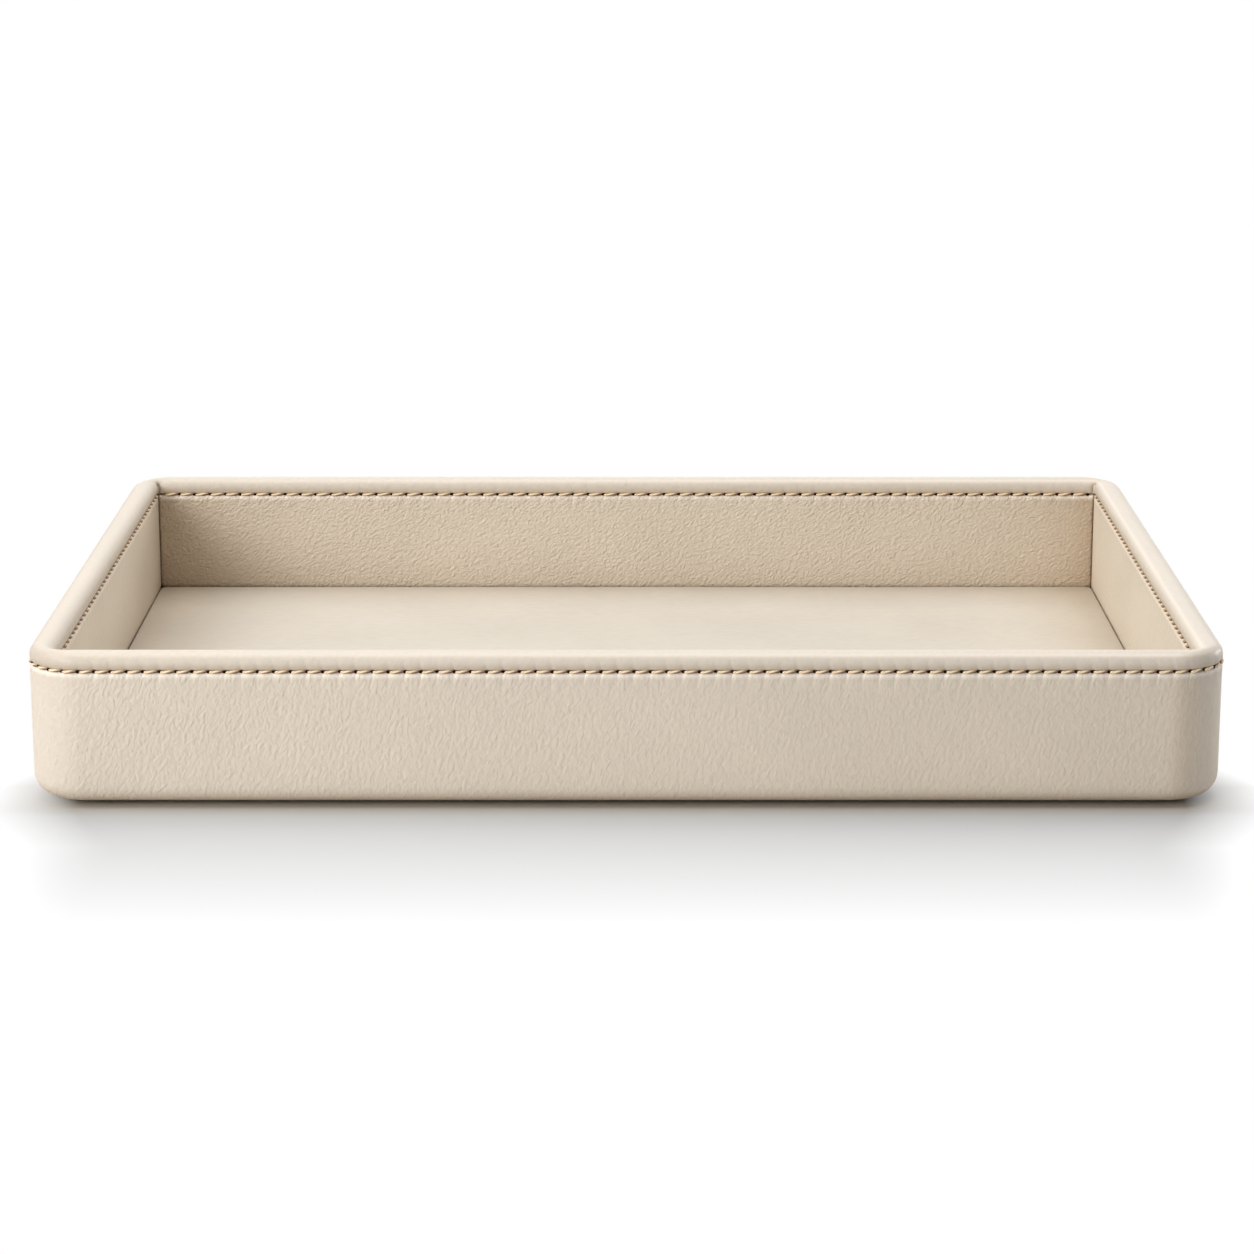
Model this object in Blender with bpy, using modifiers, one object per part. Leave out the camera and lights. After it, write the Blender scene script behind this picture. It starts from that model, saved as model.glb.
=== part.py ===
"""A rectangular leather-covered tray, 350 x 250 x 47 mm, modelled piece by piece.

Metres, +Z up. The origin is on the surface that the tray stands on, under its centre.
+X runs along the long side, to the right, and +Y runs towards the back.

From the inside out the tray is a thin base board with four mitred wall boards round it, a foam strip
along the top of the walls, a leather binding over that strip, a leather band round the outside whose
lower edge is turned in under the base, four leather linings inside, and a leather-covered card on the
floor. One thread runs round the seam outside the rim and one round the seam inside it. A soft lining
covers the underside. Each piece is a separate object, and the pieces are held together by glue.

A depth into the wall, measured from the tray's outer face, is called an inset.
"""

import math

import bmesh
import bpy

# The tray as a whole
WIDTH = 0.350
DEPTH = 0.250
HEIGHT = 0.047
CORNER_RADIUS = 0.0165
FOOT_RADIUS = 0.0065

# Stock
LEATHER = 0.0009
WALL_BOARD = 0.0060
BASE_BOARD = 0.0030
FLOOR_CARD = 0.0010
BASE_LINING = 0.0008
GLUE_GAP = 0.0003

# The rim
RIM_DROP = 0.0050
RIM_SHOULDER = 0.0036
RIM_TUCK = 0.0016
RIM_INNER_RADIUS = 0.0010
ROLL_SQUARENESS = 3.0
FOAM_SEAT = 0.0013

# The seams
THREAD_RADIUS = 0.0003
THREAD_SINK = 0.00035
SEAM_SLIT = 0.0003

# The underside
TURN_IN = 0.0095
LINING_MARGIN = 0.0080

# Edges
LEATHER_EDGE = 0.00030
FLOOR_EDGE = 0.0012
FLOOR_CORNER = 0.0030
CARD_CORNER = 0.0020
OVERRUN = 0.0050

CORNER_STEPS = 10
FOOT_STEPS = 5
EDGE_STEPS = 3
ROLL_STEPS = 16
FOAM_STEPS = 10
THREAD_SIDES = 2

# Insets, from the outer face inwards
BOARD_OUTER = LEATHER + GLUE_GAP
BOARD_INNER = BOARD_OUTER + WALL_BOARD
LINING_BACK = BOARD_INNER + GLUE_GAP
WALL_THICKNESS = LINING_BACK + LEATHER
FLOOR_INSET = WALL_THICKNESS + GLUE_GAP
CARD_INSET = FLOOR_INSET + LEATHER + GLUE_GAP

# Heights, from the table upwards
BAND_BOTTOM = BASE_LINING + GLUE_GAP
BOARD_BOTTOM = BAND_BOTTOM + LEATHER + GLUE_GAP
BASE_TOP = BOARD_BOTTOM + BASE_BOARD
CARD_BOTTOM = BASE_TOP + GLUE_GAP
CARD_TOP = CARD_BOTTOM + FLOOR_CARD
FLOOR_TOP = CARD_TOP + GLUE_GAP + LEATHER
SEAM = HEIGHT - RIM_DROP
HALF_SEAM = THREAD_RADIUS + GLUE_GAP
BELOW_SEAM = SEAM - HALF_SEAM
ABOVE_SEAM = SEAM + HALF_SEAM
ROLL_CENTRE = HEIGHT - RIM_SHOULDER
FOAM_BOTTOM = SEAM + FOAM_SEAT
BOARD_TOP = FOAM_BOTTOM - GLUE_GAP

# Colours, as red, green and blue from 0 to 1
LEATHER_COLOUR = (0.66, 0.56, 0.44)
THREAD_COLOUR = (0.49, 0.27, 0.12)
BOARD_COLOUR = (0.45, 0.32, 0.20)
CARD_COLOUR = (0.42, 0.41, 0.39)
FOAM_COLOUR = (0.78, 0.76, 0.70)
SUEDE_COLOUR = (0.36, 0.29, 0.21)


def clear_scene():
    """Removes whatever the file holds."""
    for obj in list(bpy.data.objects):
        bpy.data.objects.remove(obj)


def new_collection(name):
    """A collection under the scene's own."""
    collection = bpy.data.collections.new(name)
    bpy.context.scene.collection.children.link(collection)
    return collection


def material(name, colour, roughness):
    """A plain finish for one kind of stock."""
    made = bpy.data.materials.new(name)
    made.use_nodes = True
    shader = made.node_tree.nodes["Principled BSDF"]
    shader.inputs["Base Color"].default_value = (*colour, 1.0)
    shader.inputs["Roughness"].default_value = roughness
    shader.inputs["Metallic"].default_value = 0.0
    return made


def add_object(name, mesh, collection, finish=None):
    """Links a mesh or a curve into a collection, with its finish."""
    obj = bpy.data.objects.new(name, mesh)
    collection.objects.link(obj)
    if finish is not None:
        mesh.materials.append(finish)
    return obj


def mesh_from(bm, name):
    """Turns a bmesh into a mesh with smooth faces and crisp edges."""
    bmesh.ops.recalc_face_normals(bm, faces=bm.faces)
    mesh = bpy.data.meshes.new(name)
    bm.to_mesh(mesh)
    bm.free()
    mesh.shade_smooth()
    mesh.set_sharp_from_angle(angle=math.radians(35))
    return mesh


def box_between(inset, low, high):
    """A bmesh box over the tray's plan, drawn in by the inset on all four sides."""
    bm = bmesh.new()
    bmesh.ops.create_cube(bm, size=1.0)
    bmesh.ops.scale(bm, vec=(WIDTH - 2 * inset, DEPTH - 2 * inset, high - low), verts=bm.verts)
    bmesh.ops.translate(bm, vec=(0, 0, (low + high) / 2), verts=bm.verts)
    return bm


def round_edges(bm, edges, radius, steps):
    """Rounds the given edges, if there is anything to round."""
    if radius > 0:
        bmesh.ops.bevel(
            bm,
            geom=edges,
            offset=radius,
            offset_type="OFFSET",
            segments=steps,
            profile=0.5,
            affect="EDGES",
            clamp_overlap=True,
        )


def is_upright(edge):
    """True for an edge that runs straight up."""
    a, b = (vert.co for vert in edge.verts)
    return math.hypot(a.x - b.x, a.y - b.y) < abs(a.z - b.z)


def edges_at(bm, height):
    """The edges that lie at one height."""
    near = GLUE_GAP / 10
    return [e for e in bm.edges if all(abs(v.co.z - height) < near for v in e.verts)]


def rounded_tub(inset, low, high):
    """A solid with the tray's rounded corners and foot, drawn in by the inset, which the wall follows."""
    bm = box_between(inset, low, high)
    corner = CORNER_RADIUS - inset
    round_edges(bm, [e for e in bm.edges if is_upright(e)], corner, CORNER_STEPS)
    foot = min(FOOT_RADIUS - inset, corner - GLUE_GAP)
    round_edges(bm, edges_at(bm, low), foot, FOOT_STEPS)
    return bm


def bevel_modifier(obj, width, steps=EDGE_STEPS):
    """Rounds an object's sharp edges."""
    modifier = obj.modifiers.new("rounded edges", "BEVEL")
    modifier.width = width
    modifier.segments = steps
    modifier.limit_method = "ANGLE"
    modifier.angle_limit = math.radians(60)
    return modifier


def thickness_modifier(obj, thickness):
    """Gives an open surface its thickness, inwards from its faces."""
    modifier = obj.modifiers.new("thickness", "SOLIDIFY")
    modifier.thickness = thickness
    modifier.offset = -1.0
    modifier.use_even_offset = True
    return modifier


def boolean(obj, operation, other):
    """Cuts an object with a helper, or keeps what lies in the helper."""
    modifier = obj.modifiers.new(other.name, "BOOLEAN")
    modifier.operation = operation
    modifier.object = other
    return modifier


def helper(name, bm, helpers):
    """A cutter, which isn't part of the tray."""
    obj = add_object(name, mesh_from(bm, name), helpers)
    obj.hide_render = True
    obj.display_type = "WIRE"
    return obj


def back_slit(helpers):
    """A cutter at the middle of the back, where the two ends of a leather strip meet."""
    bm = bmesh.new()
    bmesh.ops.create_cube(bm, size=1.0)
    reach = WALL_THICKNESS + TURN_IN + CORNER_RADIUS
    bmesh.ops.scale(bm, vec=(SEAM_SLIT, reach, HEIGHT + 2 * OVERRUN), verts=bm.verts)
    bmesh.ops.translate(bm, vec=(0, (DEPTH - reach) / 2 + OVERRUN, HEIGHT / 2), verts=bm.verts)
    return helper("back_slit_cutter", bm, helpers)


def outer_band(parts, helpers, slit, leather):
    """The leather round the outside, turned in under the base all round."""
    bm = rounded_tub(0, BAND_BOTTOM, BELOW_SEAM)
    top = [f for f in bm.faces if all(abs(v.co.z - BELOW_SEAM) < GLUE_GAP / 10 for v in f.verts)]
    bmesh.ops.delete(bm, geom=top, context="FACES")
    band = add_object("outer_band", mesh_from(bm, "outer_band"), parts, leather)
    thickness_modifier(band, LEATHER)
    bevel_modifier(band, LEATHER_EDGE)
    opening = box_between(FOOT_RADIUS + TURN_IN, BAND_BOTTOM - OVERRUN, BOARD_BOTTOM)
    boolean(band, "DIFFERENCE", helper("turn_in_cutter", opening, helpers))
    boolean(band, "DIFFERENCE", slit)
    return band


def mitre_wedge(name, side, helpers):
    """The plan of one wall board, from mitre to mitre, as a prism to keep a board by.

    A side is a unit vector from the tray's middle to the wall.
    """
    along_half, across_half = (WIDTH / 2, DEPTH / 2) if side[0] == 0 else (DEPTH / 2, WIDTH / 2)
    shift = GLUE_GAP / math.sqrt(2)
    outer = across_half + OVERRUN
    inner = across_half - BOARD_INNER - OVERRUN
    long_half = along_half + OVERRUN - shift
    short_half = along_half - BOARD_INNER - OVERRUN - shift
    outline = [(-long_half, outer), (long_half, outer), (short_half, inner), (-short_half, inner)]
    bm = bmesh.new()
    turned = [(u * side[1] + v * side[0], -u * side[0] + v * side[1]) for u, v in outline]
    foot = bm.faces.new([bm.verts.new((x, y, 0)) for x, y in turned])
    raised = bmesh.ops.extrude_face_region(bm, geom=[foot])
    lifted = [item for item in raised["geom"] if isinstance(item, bmesh.types.BMVert)]
    bmesh.ops.translate(bm, vec=(0, 0, HEIGHT), verts=lifted)
    return helper(name + "_wedge", bm, helpers)


def wall_boards(parts, helpers, board):
    """Four boards, mitred at the corners, with the outer corners and the foot rounded."""
    room = helper("room_cutter", box_between(BOARD_INNER, BOARD_BOTTOM - OVERRUN, HEIGHT), helpers)
    sides = {"front": (0, -1), "back": (0, 1), "left": (-1, 0), "right": (1, 0)}
    for where, side in sides.items():
        name = where + "_wall_board"
        bm = rounded_tub(BOARD_OUTER, BOARD_BOTTOM, BOARD_TOP)
        wall = add_object(name, mesh_from(bm, name), parts, board)
        boolean(wall, "DIFFERENCE", room)
        boolean(wall, "INTERSECT", mitre_wedge(name, side, helpers))


def base_board(parts, helpers, board):
    """The board between the walls, which lies on the turned-in leather and clears its rounded corners."""
    bm = box_between(BOARD_INNER + GLUE_GAP, BOARD_BOTTOM - OVERRUN, BASE_TOP)
    base = add_object("base_board", mesh_from(bm, "base_board"), parts, board)
    tub = rounded_tub(BOARD_OUTER, BOARD_BOTTOM, BOARD_TOP)
    boolean(base, "INTERSECT", helper("tub_guide", tub, helpers))


def ring_points(inset, height, radius):
    """A loop over the tray's plan, drawn in by the inset, with four rounded corners."""
    half_x, half_y = WIDTH / 2 - inset, DEPTH / 2 - inset
    points = []
    for corner, (sign_x, sign_y) in enumerate(((1, 1), (-1, 1), (-1, -1), (1, -1))):
        for step in range(CORNER_STEPS + 1):
            angle = math.radians(90) * (corner + step / CORNER_STEPS)
            x = sign_x * (half_x - radius) + radius * math.cos(angle)
            y = sign_y * (half_y - radius) + radius * math.sin(angle)
            points.append((x, y, height))
    return points


def corner_radius_at(inset, skin):
    """The rim's corner radius a skin's thickness in, from the round outside to the nearly square inside."""
    outer = CORNER_RADIUS - skin
    inner = RIM_INNER_RADIUS + skin
    share = (inset - skin) / (WALL_THICKNESS - 2 * skin)
    return outer + (inner - outer) * share


def roll_point(angle, skin):
    """One point of the rim's section, as an inset and a height. Angle 0 faces out, and 90 degrees up."""
    power = 2 / ROLL_SQUARENESS
    across = math.copysign(abs(math.cos(angle)) ** power, math.cos(angle))
    up = math.copysign(abs(math.sin(angle)) ** power, math.sin(angle))
    rise = RIM_SHOULDER - skin if up > 0 else RIM_TUCK
    return WALL_THICKNESS / 2 - (WALL_THICKNESS / 2 - skin) * across, ROLL_CENTRE + rise * up


def roll_section(skin, foot_height, steps):
    """The rim's section, a skin's thickness in, from its outer foot over the top to its inner foot."""
    drop = min((ROLL_CENTRE - foot_height) / RIM_TUCK, 1.0)
    start = -math.asin(drop ** (ROLL_SQUARENESS / 2))
    span = math.radians(180) - 2 * start
    return [roll_point(start + span * step / steps, skin) for step in range(steps + 1)]


def lofted(section, skin, closed):
    """A surface through one ring for each point of a section, closed underneath if asked."""
    bm = bmesh.new()
    rings = []
    for inset, height in section:
        points = ring_points(inset, height, corner_radius_at(inset, skin))
        rings.append([bm.verts.new(point) for point in points])
    pairs = list(zip(rings, rings[1:]))
    if closed:
        pairs.append((rings[-1], rings[0]))
    count = len(rings[0])
    for lower, upper in pairs:
        for i in range(count):
            j = (i + 1) % count
            bm.faces.new((lower[i], lower[j], upper[j], upper[i]))
    return bm


def rim_binding(parts, slit, leather):
    """The leather strip that is rolled over the top of the walls, from seam to seam."""
    strip = lofted(roll_section(0, ABOVE_SEAM, ROLL_STEPS), 0, False)
    rim = add_object("rim_binding", mesh_from(strip, "rim_binding"), parts, leather)
    thickness_modifier(rim, LEATHER)
    bevel_modifier(rim, LEATHER_EDGE, 2)
    boolean(rim, "DIFFERENCE", slit)


def rim_padding(parts, foam):
    """The foam strip that fills the roll, on top of the wall boards."""
    skin = LEATHER + GLUE_GAP
    strip = lofted(roll_section(skin, FOAM_BOTTOM, FOAM_STEPS), skin, True)
    add_object("rim_padding", mesh_from(strip, "rim_padding"), parts, foam)


def lining(name, size, place, parts, leather):
    """One leather lining, as a flat panel with softened edges."""
    bpy.ops.mesh.primitive_cube_add(size=1.0, location=place)
    panel = bpy.context.active_object
    panel.name = name
    panel.scale = size
    bpy.ops.object.transform_apply(location=False, rotation=False, scale=True)
    for held in list(panel.users_collection):
        held.objects.unlink(panel)
    parts.objects.link(panel)
    panel.data.materials.append(leather)
    bevel_modifier(panel, LEATHER_EDGE, 2)


def linings(parts, leather):
    """The linings of the four walls. The long ones run from wall to wall, and the short ones between."""
    height = BELOW_SEAM - CARD_BOTTOM
    middle = (BELOW_SEAM + CARD_BOTTOM) / 2
    long_size = (WIDTH - 2 * LINING_BACK, LEATHER, height)
    short_size = (LEATHER, DEPTH - 2 * (WALL_THICKNESS + GLUE_GAP), height)
    across = DEPTH / 2 - LINING_BACK - LEATHER / 2
    along = WIDTH / 2 - LINING_BACK - LEATHER / 2
    lining("front_lining", long_size, (0, -across, middle), parts, leather)
    lining("back_lining", long_size, (0, across, middle), parts, leather)
    lining("left_lining", short_size, (-along, 0, middle), parts, leather)
    lining("right_lining", short_size, (along, 0, middle), parts, leather)


def floor_card(parts, card):
    """The stiff card that the floor's leather is wrapped round."""
    bm = box_between(CARD_INSET, CARD_BOTTOM, CARD_TOP)
    round_edges(bm, [e for e in bm.edges if is_upright(e)], CARD_CORNER, EDGE_STEPS)
    add_object("floor_card", mesh_from(bm, "floor_card"), parts, card)


def floor_leather(parts, leather):
    """The leather over the floor's card, turned down at its edges."""
    bm = box_between(FLOOR_INSET, CARD_BOTTOM, FLOOR_TOP)
    round_edges(bm, [e for e in bm.edges if is_upright(e)], FLOOR_CORNER, EDGE_STEPS)
    under = [f for f in bm.faces if all(abs(v.co.z - CARD_BOTTOM) < GLUE_GAP / 10 for v in f.verts)]
    bmesh.ops.delete(bm, geom=under, context="FACES")
    round_edges(bm, edges_at(bm, FLOOR_TOP), FLOOR_EDGE, EDGE_STEPS)
    floor = add_object("floor_leather", mesh_from(bm, "floor_leather"), parts, leather)
    thickness_modifier(floor, LEATHER)


def base_lining(parts, suede):
    """The soft sheet that covers the underside, which the tray stands on."""
    bm = box_between(LINING_MARGIN, 0, BASE_LINING)
    corner = max(CORNER_RADIUS - LINING_MARGIN, CARD_CORNER)
    round_edges(bm, [e for e in bm.edges if is_upright(e)], corner, CORNER_STEPS)
    add_object("base_lining", mesh_from(bm, "base_lining"), parts, suede)


def seam_thread(name, inset, radius, parts, thread):
    """The thread that runs once round the tray in a seam."""
    curve = bpy.data.curves.new(name, "CURVE")
    curve.dimensions = "3D"
    curve.bevel_depth = THREAD_RADIUS
    curve.bevel_resolution = THREAD_SIDES
    spline = curve.splines.new("POLY")
    points = ring_points(inset, SEAM, radius)
    spline.points.add(len(points) - 1)
    for place, (x, y, z) in zip(spline.points, points):
        place.co = (x, y, z, 1.0)
    spline.use_cyclic_u = True
    add_object(name, curve, parts, thread)


def seam_threads(parts, thread):
    """The threads of the two seams of the rim."""
    outer_inset = THREAD_SINK
    seam_thread("outer_thread", outer_inset, CORNER_RADIUS - outer_inset, parts, thread)
    inner_inset = WALL_THICKNESS - THREAD_SINK
    seam_thread("inner_thread", inner_inset, RIM_INNER_RADIUS + THREAD_SINK, parts, thread)


def build():
    """Makes every piece of the tray."""
    clear_scene()
    parts = new_collection("leather_tray")
    helpers = new_collection("cutters")
    leather = material("leather", LEATHER_COLOUR, 0.45)
    thread = material("thread", THREAD_COLOUR, 0.60)
    board = material("fibreboard", BOARD_COLOUR, 0.85)
    card = material("greyboard", CARD_COLOUR, 0.90)
    foam = material("foam", FOAM_COLOUR, 0.95)
    suede = material("suede", SUEDE_COLOUR, 0.95)
    slit = back_slit(helpers)
    base_board(parts, helpers, board)
    wall_boards(parts, helpers, board)
    rim_padding(parts, foam)
    rim_binding(parts, slit, leather)
    outer_band(parts, helpers, slit, leather)
    linings(parts, leather)
    floor_card(parts, card)
    floor_leather(parts, leather)
    base_lining(parts, suede)
    seam_threads(parts, thread)


build()
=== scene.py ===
# %% [markdown]
# # Dressing a leather tray
#
# The solids of this tray are ready: boards inside, leather outside, one thread in each seam. Here each piece
# that shows gets the form and finish of the real one: leather that rolls over a soft rim, puckers under every
# stitch and is pinched at the inner corners. Everything is in metres. X runs along the tray, Y from its front
# to its back, and Z up.

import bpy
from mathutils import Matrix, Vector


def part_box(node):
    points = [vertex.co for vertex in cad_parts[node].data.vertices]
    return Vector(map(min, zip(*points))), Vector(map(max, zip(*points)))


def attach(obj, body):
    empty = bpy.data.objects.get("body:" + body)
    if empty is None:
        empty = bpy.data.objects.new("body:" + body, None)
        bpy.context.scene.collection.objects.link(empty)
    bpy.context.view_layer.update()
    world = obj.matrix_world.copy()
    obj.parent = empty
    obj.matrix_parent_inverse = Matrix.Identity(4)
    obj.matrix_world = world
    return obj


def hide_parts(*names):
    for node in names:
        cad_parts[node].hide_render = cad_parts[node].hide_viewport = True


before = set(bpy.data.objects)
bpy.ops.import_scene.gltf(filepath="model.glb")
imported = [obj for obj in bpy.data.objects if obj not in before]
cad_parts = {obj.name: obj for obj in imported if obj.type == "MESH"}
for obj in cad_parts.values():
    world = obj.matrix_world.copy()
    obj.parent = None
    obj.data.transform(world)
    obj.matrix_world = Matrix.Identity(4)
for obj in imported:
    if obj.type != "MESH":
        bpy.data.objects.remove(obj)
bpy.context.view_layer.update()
print("Solids:", ", ".join(sorted(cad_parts)))

# %% [markdown]
# ## Sizes
#
# A tray maker works from a few sizes, and the rest follows. Most are read from the solids' boxes, so that the
# dressed pieces fit the solids. The others are what a box can't tell, such as a corner's radius. A depth into
# the wall from its outer face is called an inset, as in the part's own source.

# %% Read the sizes
import math
from functools import partial

import bpy
import numpy as np

MM = 0.001
band_low, band_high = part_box("outer_band")
lining_low, lining_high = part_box("right_lining")
floor_low, floor_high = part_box("floor_leather")

CORNER_RADIUS = 16.5 * MM
FOOT_RADIUS = 6.5 * MM
TURN_IN = 9.5 * MM
THREAD = 0.94 * MM
THREAD_INSET = 0.25 * MM
SETTLING = 0.50 * MM

half_length, half_width = band_high.x, band_high.y
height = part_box("rim_binding")[1].z
seam_height = sum(corner.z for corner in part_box("outer_thread")) / 2 - SETTLING
leather = lining_high.x - lining_low.x
thickness = half_length - lining_low.x

print(f"Walls {thickness / MM:.1f} mm thick, seam {(height - seam_height) / MM:.1f} mm below the top")

# %% [markdown]
# ## Colours and shader nodes
#
# Colours are written as sRGB hex values, as a designer picks them, and one function turns them to the linear
# light that shaders count in. Another adds a node with its settings and what feeds it. Inputs follow the
# node's order: a Map Range takes a value, the range it comes from and the one it goes to. A Mix has its
# colours as 6 and 7.


# %% Helpers for finishes
def colour(hex_code):
    """An sRGB hex colour as the linear red, green, blue and alpha that a shader takes."""
    values = [int(hex_code[i:i + 2], 16) / 255 for i in (1, 3, 5)]
    linear = [v / 12.92 if v <= 0.04045 else ((v + 0.055) / 1.055) ** 2.4 for v in values]
    return (*linear, 1.0)


def feed(node, inputs):
    """Gives a node's inputs, in a row or by name, their values, hex colours or the sockets that feed them."""
    for name, value in inputs.items() if isinstance(inputs, dict) else enumerate(inputs):
        if isinstance(value, bpy.types.NodeSocket):
            node.id_data.links.new(value, node.inputs[name])
        else:
            node.inputs[name].default_value = colour(value) if isinstance(value, str) else value


def add_node(tree, kind, inputs=(), operation=None, **settings):
    """Adds a node, a shader's if its kind says no more, and gives its first output in use."""
    node = tree.nodes.new(kind if "Node" in kind else "ShaderNode" + kind)
    if operation:
        node.operation = operation
    for name, value in settings.items():
        setattr(node, name, value)
    feed(node, inputs)
    return next((socket for socket in node.outputs if socket.enabled), None)


def new_finish(name, base, roughness):
    """A material, the function that adds nodes to it, and its shader."""
    finish = bpy.data.materials.new(name)
    finish.use_nodes = True
    finish.diffuse_color = colour(base)
    shader = finish.node_tree.nodes["Principled BSDF"]
    feed(shader, {"Base Color": base, "Roughness": roughness})
    return finish, partial(add_node, finish.node_tree), shader


def in_scene(name, data):
    """A new object in the scene."""
    thing = bpy.data.objects.new(name, data)
    bpy.context.scene.collection.objects.link(thing)
    return thing


# %% [markdown]
# ## Leather
#
# The covering is cowhide with a corrected grain: small wrinkles that lean one way, with pebbles between them.
# Its pigment is even, so nearly all the work is in the bump. Leaned and stretched noise makes the wrinkles,
# and a cell pattern the pebbles. The outer hide was pressed flatter towards the tray's right end. UV maps are
# in metres, so a scale is one divided by a real width. Three marks on each point tell more: a cut edge is
# dressed brown; a painted highlight makes the folded lip and the rim's shoulders paler; and painted shade
# darkens the leather in nooks, at the foot, in the rim's tucks, at the rim's left end and at the right front
# corner.


# %% Leather finish
PRESSED_FROM = -0.13
PRESSED_TO = 0.03


def mark_parts(add):
    """The three marks that each point of a mesh has."""
    mark = add("Attribute", attribute_name="mark").node.outputs["Vector"]
    return add("SeparateXYZ", [mark]).node.outputs


def leather_finish(name, base, roughness, depth, wrinkle, stretch, lean, pressed=1.0):
    """Cowhide, by its wrinkles' depth, width, stretch and angle, and what pressing leaves of their depth."""
    finish, add, shader = new_finish(name, base, roughness)
    uv = add("UVMap", uv_map="leather")
    turned = add("Mapping", {"Vector": uv, "Rotation": (0, 0, math.radians(-lean))})
    stretched = add("Mapping", {"Vector": turned, "Scale": (1 / (stretch * wrinkle), 1 / wrinkle, 1)})
    noise = {"Vector": stretched, "Scale": 1.0, "Detail": 1.0, "Roughness": 0.4, "Distortion": 0.6}
    wrinkles = add("TexNoise", noise)
    pebbles = add("TexVoronoi", {"Vector": stretched, "Scale": 1.2, "Smoothness": 0.5}, feature="SMOOTH_F1")
    pores = add("TexNoise", {"Vector": uv, "Scale": 1 / (0.5 * MM), "Detail": 1.0})
    relief = add("Math", (pebbles, -0.35, wrinkles), "MULTIPLY_ADD")
    relief = add("Math", (pores, 0.10, relief), "MULTIPLY_ADD")
    along = add("SeparateXYZ", [add("TexCoord").node.outputs["Object"]])
    deep = add("MapRange", (along, PRESSED_FROM, PRESSED_TO, depth, pressed * depth))
    bump = add("Bump", {"Height": relief, "Distance": deep, "Strength": 1.0})
    mottle = add("TexNoise", {"Vector": uv, "Scale": 1 / (38 * MM), "Detail": 3.0})
    shade = add("MapRange", (mottle, 0.3, 0.7, 0.965, 1.02))
    valley = add("MapRange", (wrinkles, 0.30, 0.62, 0.965, 1.008))
    both = add("Math", (shade, valley), "MULTIPLY")
    tint = add("VectorMath", {0: colour(base)[:3], "Scale": both}, "SCALE")
    dressed, painted_highlight, painted_shade = mark_parts(add)
    # Painted shade darkens the hide by the third mark; a painted highlight makes it paler by the second.
    shade_colour = add("Mix", {0: painted_shade, 6: (1, 1, 1, 1), 7: "#C3B39E"}, data_type="RGBA")
    skin = add("VectorMath", (tint, shade_colour), "MULTIPLY")
    for share, paint in ((painted_highlight, "#F8ECDD"), (dressed, "#75583A")):
        skin = add("Mix", {0: share, 6: skin, 7: paint}, data_type="RGBA")
    gloss = add("MapRange", (mottle, 0.3, 0.7, roughness - 0.03, roughness + 0.04))
    feed(shader, {"Base Color": skin, "Roughness": gloss, "Normal": bump, "IOR": 1.45})
    return finish


# The long walls show the grain most: the hide is glued flat there, and the light grazes it.
band_hide = leather_finish("cowhide_glued_flat", "#DACDBC", 0.50, 0.35 * MM, 1.2 * MM, 1.8, 74, 0.60)
lining_hide = leather_finish("cowhide_lining", "#E2D5C3", 0.52, 0.50 * MM, 0.95 * MM, 1.45, 35)
# Over the soft rim the hide is stretched, which flattens its grain and brings out the topcoat's gloss.
rim_hide = leather_finish("cowhide_stretched_on_rim", "#D6CABA", 0.56, 0.06 * MM, 1.1 * MM, 1.6, 60)
feed(rim_hide.node_tree.nodes["Principled BSDF"], {"Coat Weight": 0.35, "Coat Roughness": 0.28})
# The side linings and the floor are cut from a smoother part of the hide.
side_hide = leather_finish("cowhide_smooth_lining", "#E4D8C6", 0.52, 0.09 * MM, 1.2 * MM, 1.8, 60)
floor_hide = leather_finish("cowhide_floor", "#D5CCBE", 0.52, 0.09 * MM, 1.8 * MM, 2.5, 12)
print("Leathers:", [m.name for m in bpy.data.materials if "cowhide" in m.name])

# %% [markdown]
# ## Walking round the tray
#
# The outer band, the rim and the outer seam all run once round the tray from the middle of the back, where
# the real strips are butted. So one function walks that loop, and gives the points of a ring at any inset and
# the way the wall faces there. A corner may be tighter inside than outside: the same columns then walk a
# short straight, a small arc and a straight again, crowded at the arc where a crease needs them.


# %% Runs of the loop
def turned_left(way):
    """The direction a quarter turn to the left of another one."""
    return np.array((-way[1], way[0]))


long_half, short_half = half_length - CORNER_RADIUS, half_width - CORNER_RADIUS
place, way, out = np.array((0.0, short_half)), np.array((-1.0, 0.0)), np.array((0.0, 1.0))
# Each run tells which it is, its length, where it starts, its direction and the way its wall faces.
runs = []
for length in (long_half, 2 * short_half, 2 * long_half, 2 * short_half, long_half):
    runs.append(("wall", length, place + CORNER_RADIUS * out, way, out))
    place = place + length * way
    runs.append(("corner", (CORNER_RADIUS - THREAD_INSET) * math.pi / 2, place, way, out))
    way, out = turned_left(way), turned_left(out)
runs.pop()
loop_length = sum(run[1] for run in runs)
print(f"The seam is {loop_length / MM:.0f} mm round")


# %% Rings round the tray
def corner_walk(share, inset, radius, crowding):
    """Steps along and out of a corner's first wall, and the angle turned, at shares of the way round."""
    reach = CORNER_RADIUS - inset
    straight = max(reach - radius, 0)
    quarter = radius * math.pi / 2
    share = share + crowding * np.sin(2 * math.pi * share) / (2 * math.pi)
    walked = share * (2 * straight + quarter)
    angle = np.clip((walked - straight) / radius, 0, math.pi / 2)
    along = np.minimum(walked, straight) + radius * np.sin(angle)
    away = reach - radius + radius * np.cos(angle) - np.clip(walked - straight - quarter, 0, straight)
    return along, away, angle


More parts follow.
